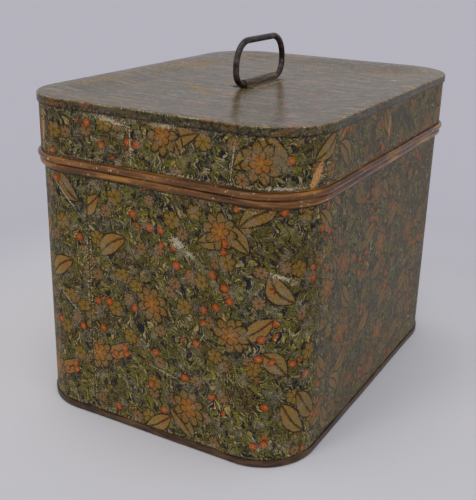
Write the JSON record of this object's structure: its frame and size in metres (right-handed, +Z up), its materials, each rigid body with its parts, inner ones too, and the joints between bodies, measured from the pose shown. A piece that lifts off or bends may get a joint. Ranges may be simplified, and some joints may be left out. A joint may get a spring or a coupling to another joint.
{
  "type": "tin trunk",
  "caption": "Rounded-corner tin trunk covered in varnished floral paper, with a lift-off lid over a stop bead and a swinging wire ring handle.",
  "frame": {"origin": "middle of the underside, on the surface that the trunk stands on", "axes": "+Z up, a short side faces -Y, the long sides face +X and -X, the handle's bar runs along Y"},
  "size_m": [0.313, 0.427, 0.3706],
  "materials": {
    "japanned_tin": "glossy brown japan, worn",
    "printed_paper": "printed floral under aged varnish",
    "iron_wire": "drawn iron wire",
    "handle_iron": "worn dark iron",
    "strap_tin": "worn brown tin",
    "solder": "dull grey solder"
  },
  "bodies": {
    "trunk": {"body_wall_front": "japanned_tin", "body_wall_back": "japanned_tin", "body_bottom": "japanned_tin", "body_paper_front": "printed_paper", "body_paper_right": "printed_paper", "body_paper_back": "printed_paper", "body_paper_left": "printed_paper"},
    "lid": {"lid_skirt_front": "japanned_tin", "lid_skirt_back": "japanned_tin", "lid_top": "japanned_tin", "lid_wire": "iron_wire", "lid_paper_top": "printed_paper", "lid_paper_front": "printed_paper", "lid_paper_right": "printed_paper", "lid_paper_back": "printed_paper", "lid_paper_left": "printed_paper", "handle_strap": "strap_tin", "strap_solder": "solder"},
    "handle": {"handle_ring": "handle_iron"}
  },
  "joints": [
    {"name": "lid_lift", "type": "slide", "parent": "trunk", "child": "lid", "axis": [0, 0, 1], "range_m": [0, 0.08]},
    {"name": "handle_swing", "type": "hinge", "parent": "lid", "child": "handle", "pos_m": [0, 0, 0.3239], "axis": [0, 1, 0], "range_deg": [-86, 86]}
  ]
}
